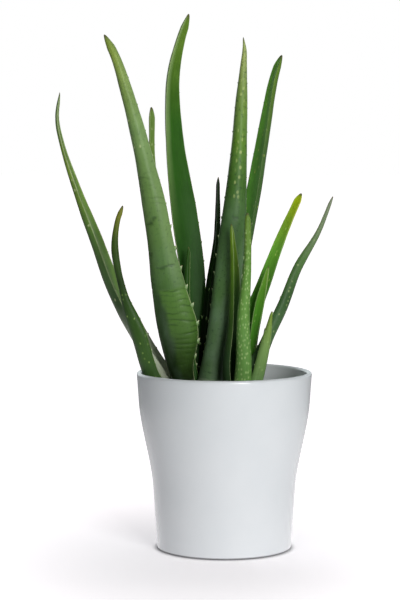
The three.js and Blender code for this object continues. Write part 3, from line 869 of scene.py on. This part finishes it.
    tooth = node("MeshCone", Vertices=8, Side_Segments=5, Fill_Segments=1,
                 Radius_Top=TOOTH_POINT * MM, Radius_Bottom=TOOTH_ROOT * MM, Depth=TOOTH_LENGTH * MM)
    height = node("SeparateXYZ", node("InputPosition")).node.outputs["Z"]
    risen = node("*", height, 1000.0)
    tooth = node("StoreNamedAttribute.FLOAT", tooth, None, "tooth_mm", risen, domain="POINT")
    hook = node("*", node("*", height, height), TOOTH_HOOK * 1000)
    tooth = node("SetPosition", tooth, Offset=node("CombineXYZ", hook, 0.0, -TOOTH_SUNK * MM))
    tooth = node("Transform", tooth, Scale=(1.0, TOOTH_FLATNESS, 1.0))
    turned = node("AxesToRotation", node("Field", "across"), node("Field", "hollow"),
                  primary_axis="Z", secondary_axis="X")
    size = node("InputNamedAttribute.FLOAT", "size")
    teeth = node("InstanceOnPoints", roots, Instance=tooth, Rotation=turned, Scale=size)
    made = node("SetShadeSmooth", node("JoinGeometry", [skin, teeth]), None, True)
    made = node("SetMaterial", node("RealizeInstances", made), None, given["Skin"])
    return node("SetMaterial", made, is_tooth, given["Horn"])


def waxy_skin(node, leaf, seed):
    """Waxy aloe skin: smooth green with a grey bloom, pale flecks and a thin pale margin, with a
    painted highlight band and painted shade in the creases and beside the sheath, each laid as a
    layer of tone over the one before."""
    tones = [linear(code) for code in leaf["tones"]]
    place, shares, marks = (
        node("Attribute", attribute_name="blade_" + label).node.outputs["Vector"]
        for label in ("mm", "share", "marks")
    )
    edge = node("SeparateXYZ", place).node.outputs["Z"]
    share, facing, side = node("SeparateXYZ", shares).node.outputs
    crease_and_shade, sheath, shade = node("SeparateXYZ", marks).node.outputs

    def mottled(scale, shift=0.0, detail=2.0):
        spot = node("Mapping", place, Scale=scale, Location=(seed * 3.7 + shift, shift, seed))
        return node("TexNoise", Vector=spot, Scale=1.0, Detail=detail)

    tone = node("ValToRGB", share)
    stops = tone.node.color_ramp.elements
    stops[0].position, stops[0].color = 0.0, tones[0]
    stops[1].position, stops[1].color = 1.0, tones[-1]
    for spot, colour in zip(leaf["tone_at"], tones):
        stops.new(spot).color = colour
    hollow = node("MapRange", facing, 0.5, 0.3, To_Max=0.55)
    hollow = node("*", hollow, node("MapRange", share, *reversed(leaf["inner_fade"])))
    tone = node("Mix.RGBA", hollow, tone, linear(leaf["inner"]))
    mottle = node("MapRange", mottled((0.12, 0.05, 0.0)), 0.35, 0.65, To_Max=0.3)
    tone = node("Mix.RGBA", mottle, tone, tones[1])
    fibre = node("MapRange", mottled((1.6, 0.02, 0.0), 5.0, 3.0), 0.3, 0.7, 0.88, 1.1)
    tone = node("VectorMath.SCALE", tone, Scale=fibre)

    # Painted highlight: a paler band down one flank, laid where the light falls on the blade.
    first, last, highlight_tone, highlight_weight, low, high = leaf["streak"]
    streak = node("MapRange", side, first, last, To_Max=highlight_weight)
    streak = node("*", streak, node("MapRange", share, low, high))

    pressed = node("*", sheath, node("MapRange", share, 0.08, 0.26, To_Max=0.42))
    scuff = mottled((0.55, 0.4, 0.0), 21.0, 4.0)
    scuff = node("MapRange", scuff, 0.56, 0.7, To_Max=leaf["scuffs"])
    bloom = mottled((0.09, 0.035, 0.0), 9.0, 4.0)
    bloom = node("MapRange", bloom, 0.35, 0.7, To_Max=leaf["bloom"])
    bloom = node("*", bloom, node("MapRange", share, 0.6, 0.25, To_Min=0.25))
    bloom = node("*", bloom, node("-", 1.0, sheath))

    cell_across, cell_along = leaf["fleck_cell"]
    cells = node("Mapping", place, Scale=(1 / cell_across, 1 / cell_along, 0.0),
                 Location=(seed * 1.3, seed * 2.1, 0.0))
    cells = node("TexVoronoi", Vector=cells, Scale=1.0, Randomness=0.95,
                 voronoi_dimensions="2D", feature="F1").node.outputs
    dice = node("SeparateXYZ", cells["Color"]).node.outputs
    chosen = node("Math.LESS_THAN", dice["X"], leaf["flecks"])
    faint = node("MapRange", dice["Y"], To_Min=0.35, To_Max=0.9)
    off_centre = node("Math.ABSOLUTE", node("-", side, leaf["fleck_side"]))
    central = node("MapRange", off_centre, leaf["fleck_band"], leaf["fleck_band"] * 0.7)
    first, last = leaf["fleck_span"]
    begun = node("MapRange", share, first, first + 0.03)
    lasting = node("MapRange", share, last, last - 0.03)
    fleck = node("MapRange", cells["Distance"], 0.34, 0.12)
    for weight in (chosen, faint, central, begun, lasting):
        fleck = node("*", fleck, weight)

    rim = node("MapRange", edge, *leaf["rim"], To_Max=leaf["pale_margin"])
    dry = node("MapRange", share, 0.982, 0.996)
    sunk = leaf["pale_base"]
    blanched = node("MapRange", share, sunk, sunk / 2)
    # Layers of tone, laid in turn: a painted highlight band, the pressed sheath, painted shade in the
    # creases and beside the sheath's border, scuffs, wax bloom, flecks, the pale rim, the dry tip and the
    # blanched base.
    for weight, code in (
        (streak, highlight_tone), (pressed, "#648f3a"), (node("*", crease_and_shade, 0.6), "#233f17"),
        (node("*", shade, 0.55), "#1c3214"), (scuff, "#2c4626"), (bloom, "#7f9a80"),
        (fleck, leaf["fleck_tone"]), (rim, "#b9c892"), (dry, "#5e6138"), (blanched, "#c6cfb4"),
    ):
        tone = node("Mix.RGBA", weight, tone, linear(code))

    pores = mottled((2.4, 1.1, 0.0), 13.0, 3.0)
    bump = node("Bump", Height=pores, Strength=0.16, Distance=0.0004)
    gloss = node("MapRange", bloom, From_Max=0.4, To_Min=0.4, To_Max=0.56)
    return dict(Base_Color=tone, Roughness=gloss, Normal=bump, IOR=1.45,
                Specular_IOR_Level=leaf["shine"])


def tooth_horn(node):
    """Horny cartilage, cream and waxy: green where it leaves the margin and brown at the point."""
    height = node("Attribute", attribute_name="tooth_mm").node.outputs["Fac"]
    tone = node("ValToRGB", node("/", height, TOOTH_LENGTH))
    stops = tone.node.color_ramp.elements
    stops[0].position, stops[0].color = 0.3, linear("#6f9052")
    stops[1].position, stops[1].color = 0.95, linear("#a48f64")
    stops.new(0.55).color = linear("#94ab78")
    stops.new(0.8).color = linear("#b8c69c")
    return dict(Base_Color=tone, Roughness=0.45, IOR=1.5)


BLADE = geometry_tree(
    "grow a blade", growing, Around="Int", Length="Float", Wrinkle="Float", Sheath="Float",
    Seed="Float", Fold_1="Vector", Fold_2="Vector", Fold_3="Vector", Slant="Float",
    Skin="Material", Horn="Material",
)
HORN = finish("cream_tooth_horn", tooth_horn)
for number, (leaf_node, leaf) in enumerate(LEAVES.items()):
    plan, length = blade_plan(leaf_node + "_plan", leaf)
    folds = leaf["folds"] + [NO_FOLD] * 3
    blade = grow(
        leaf_node.replace("leaf", "blade"), plan, BLADE,
        Around=AROUND, Length=float(length), Wrinkle=float(leaf["wrinkles"]),
        Sheath=float(leaf["sheath"]), Seed=float(number * 7 + 3), Fold_1=folds[0],
        Fold_2=folds[1], Fold_3=folds[2], Slant=float(leaf["slant"]),
        Skin=finish(leaf_node + "_waxy_skin", waxy_skin, leaf, number + 1.0), Horn=HORN,
    )
    slot = "offset_leaf" if leaf_node.startswith("offset") else "main_leaf"
    install(blade, slot, leaf_node)

# ---- Studio ----
# The pot stands on a glowing white sheet in a dark room. Only the room's far wall is lit, its left
# more than its right, and softboxes stand at the front right, the side and above. The camera sees
# the room as plain white.

FLOOR_SIZE = 60
# Centre and reach of the painted shadow that the camera sees round the pot.
SHADOW_CENTRE = (-0.02, -0.06, 0)
SHADOW_REACH = (0.306, 0.396, 1)
ROOM_LIGHT = 0.01
WALL_TINT = (0.92, 1.0, 1.02, 1.0)

# Where each light on the sheet and the far wall begins and ends, and how strong it is there. The
# sheet's shadow and contact shadow are painted for the camera, and its sheen is a painted reflection.
FLOOR_GLOW = (0.12, 0.4, 0.35, 0.0)
FLOOR_SHEEN = (0.15, 0.9, 0.65, 0.1)
FLOOR_SHADOW = (0.0, 1.0, 0.4, 1.0)
FLOOR_CONTACT = (0.0525, 0.0565, 0.1, 1.0)
WALL_LIGHT = (-0.5, 0.3, 1.3, 0.72)
WALL_EDGE = (0.35, 0.8)

# Place in metres, size in metres and power in watts.
SOFTBOX_AIM = (0, 0, 0.18)
SOFTBOXES = {
    "softbox_front": ((0.65, -1.65, 0.65), (0.7, 0.7), 21.5),
    "softbox_side": ((1.6, -0.6, 0.6), (0.8, 1.0), 1.5),
    "softbox_top": ((-0.15, -0.7, 1.7), (1.2, 1.0), 3.0),
}


def opal_sheet(node):
    """Opal acrylic sheet lit from below: matt and white. The camera sees a painted soft shadow round
    the pot and a painted contact shadow at its foot. It gives less light to the pot than the camera
    sees, and glossy rays see a painted reflection of it, which fades with distance."""
    place = node("TexCoord").node.outputs["Object"]
    away = node("VectorMath.LENGTH", place).node.outputs["Value"]
    glow = node("Smooth", away, *FLOOR_GLOW)
    sheen = node("Smooth", away, *FLOOR_SHEEN)
    shadow = node("VectorMath.SUBTRACT", place, SHADOW_CENTRE)
    shadow = node("VectorMath.DIVIDE", shadow, SHADOW_REACH)
    shadow = node("VectorMath.LENGTH", shadow).node.outputs["Value"]
    # Painted shadow: the camera sees the sheet dimmed round the pot and at its foot.
    white = node("Smooth", shadow, *FLOOR_SHADOW)
    white = node("*", white, node("MapRange", away, *FLOOR_CONTACT))
    ray = node("LightPath").node.outputs
    # Painted reflection: glossy rays see the sheet at the sheen level, which fades with distance.
    glow = node("Mix.FLOAT", ray["Is Glossy Ray"], glow, sheen)
    glow = node("Mix.FLOAT", ray["Is Camera Ray"], glow, white)
    return dict(Base_Color=linear("#ececed"), Roughness=0.9, Specular_IOR_Level=0.0,
                Emission_Color=linear("#fff9fc"), Emission_Strength=glow)


floor_mesh = bpy.data.meshes.new("floor")
corners = [(-1, -1), (1, -1), (1, 1), (-1, 1)]
corners = [(x * FLOOR_SIZE / 2, y * FLOOR_SIZE / 2, 0) for x, y in corners]
floor_mesh.from_pydata(corners, [], [(0, 1, 2, 3)])
floor_mesh.materials.append(finish("lit_opal_acrylic_sheet", opal_sheet))
stand("floor", floor_mesh)

for title, (place, size, power) in SOFTBOXES.items():
    lamp = bpy.data.lights.new(title, "AREA")
    lamp.shape = "RECTANGLE"
    lamp.size, lamp.size_y = size
    lamp.energy = power
    holder = stand(title, lamp)
    holder.location = place
    aim = Vector(SOFTBOX_AIM) - Vector(place)
    holder.rotation_euler = aim.to_track_quat("-Z", "Y").to_euler()

world = bpy.data.worlds.new("studio_room")
world.use_nodes = True
world.node_tree.nodes.clear()
node = partial(add, world.node_tree)
way = node("SeparateXYZ", node("TexCoord").node.outputs["Generated"]).node.outputs
paint = node("Smooth", way["X"], *WALL_LIGHT)
wall = node("Smooth", way["Y"], *WALL_EDGE, ROOM_LIGHT, paint)
seen = node("LightPath").node.outputs["Is Camera Ray"]
strength = node("Mix.FLOAT", seen, wall, 1.0)
tint = node("Mix.RGBA", seen, WALL_TINT, linear("#ffffff"))
node("OutputWorld", node("Background", tint, strength))
bpy.context.scene.world = world

camera_lens = bpy.data.cameras.new("camera")
camera_lens.sensor_fit = "VERTICAL"
camera_lens.sensor_height = 36
camera_lens.lens = 117.84
camera = stand("camera", camera_lens)
camera.location = (-0.019, -1.529, 0.3064)
camera.rotation_euler = (math.radians(90 - 4.168), 0, 0)
bpy.context.scene.camera = camera
bpy.context.scene.view_settings.view_transform = "Standard"
